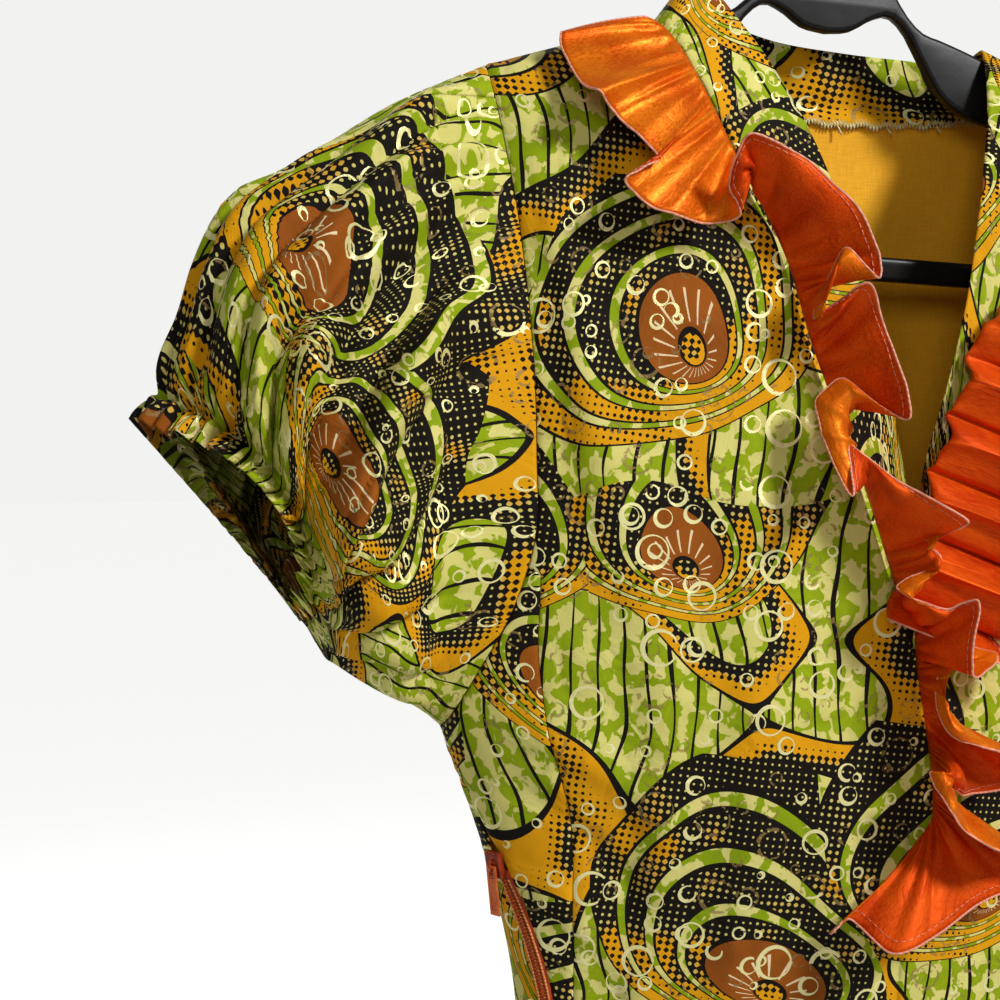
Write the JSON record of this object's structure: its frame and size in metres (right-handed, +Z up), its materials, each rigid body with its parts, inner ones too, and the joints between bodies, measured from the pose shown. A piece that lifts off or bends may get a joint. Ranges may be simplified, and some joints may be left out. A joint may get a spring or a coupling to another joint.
{
  "type": "ankara wax print dress on a plastic hanger",
  "caption": "Knee-length wax print dress with puff sleeves, shirred cuffs, a V neck edged by a satin ruffle with a cascade, a side zip and its hanger.",
  "frame": {"origin": "the point inside the top of the hanger's hook that rests on the rail", "axes": "+Z up, -Y the front of the dress, -X the wearer's right"},
  "size_m": [0.644, 0.1607, 1.0949],
  "materials": {
    "wax_print_cotton": "crisp cotton with a wax print in greens, cream, black and ochre",
    "lining_cotton": "plain ochre lining cotton",
    "satin_ruffle": "orange polyester satin with an overlocked edge",
    "zip_nylon": "orange woven tape with a nylon coil",
    "zip_enamel": "orange enamel",
    "hanger_plastic": "black moulded plastic"
  },
  "bodies": {
    "dress": {"front_centre": "wax_print_cotton", "front_side_right": "wax_print_cotton", "front_side_left": "wax_print_cotton", "back": "wax_print_cotton", "sleeve_right": "wax_print_cotton", "sleeve_cap_right": "wax_print_cotton", "sleeve_left": "wax_print_cotton", "sleeve_cap_left": "wax_print_cotton", "neck_band_right": "wax_print_cotton", "neck_band_left": "wax_print_cotton", "neck_band_back": "wax_print_cotton", "lining_back": "lining_cotton", "ruffle_right": "satin_ruffle", "ruffle_left": "satin_ruffle", "zip_tape": "zip_nylon", "zip_slider": "zip_enamel", "hanger": "hanger_plastic"},
    "pull_tab": {"zip_pull": "zip_enamel"}
  },
  "joints": [
    {"name": "pull_tab_hinge", "type": "hinge", "parent": "dress", "child": "pull_tab", "pos_m": [-0.16171, -0.01337, -0.46808], "axis": [-0.5932, 0.8051, 0], "range_deg": [0, 150]}
  ]
}
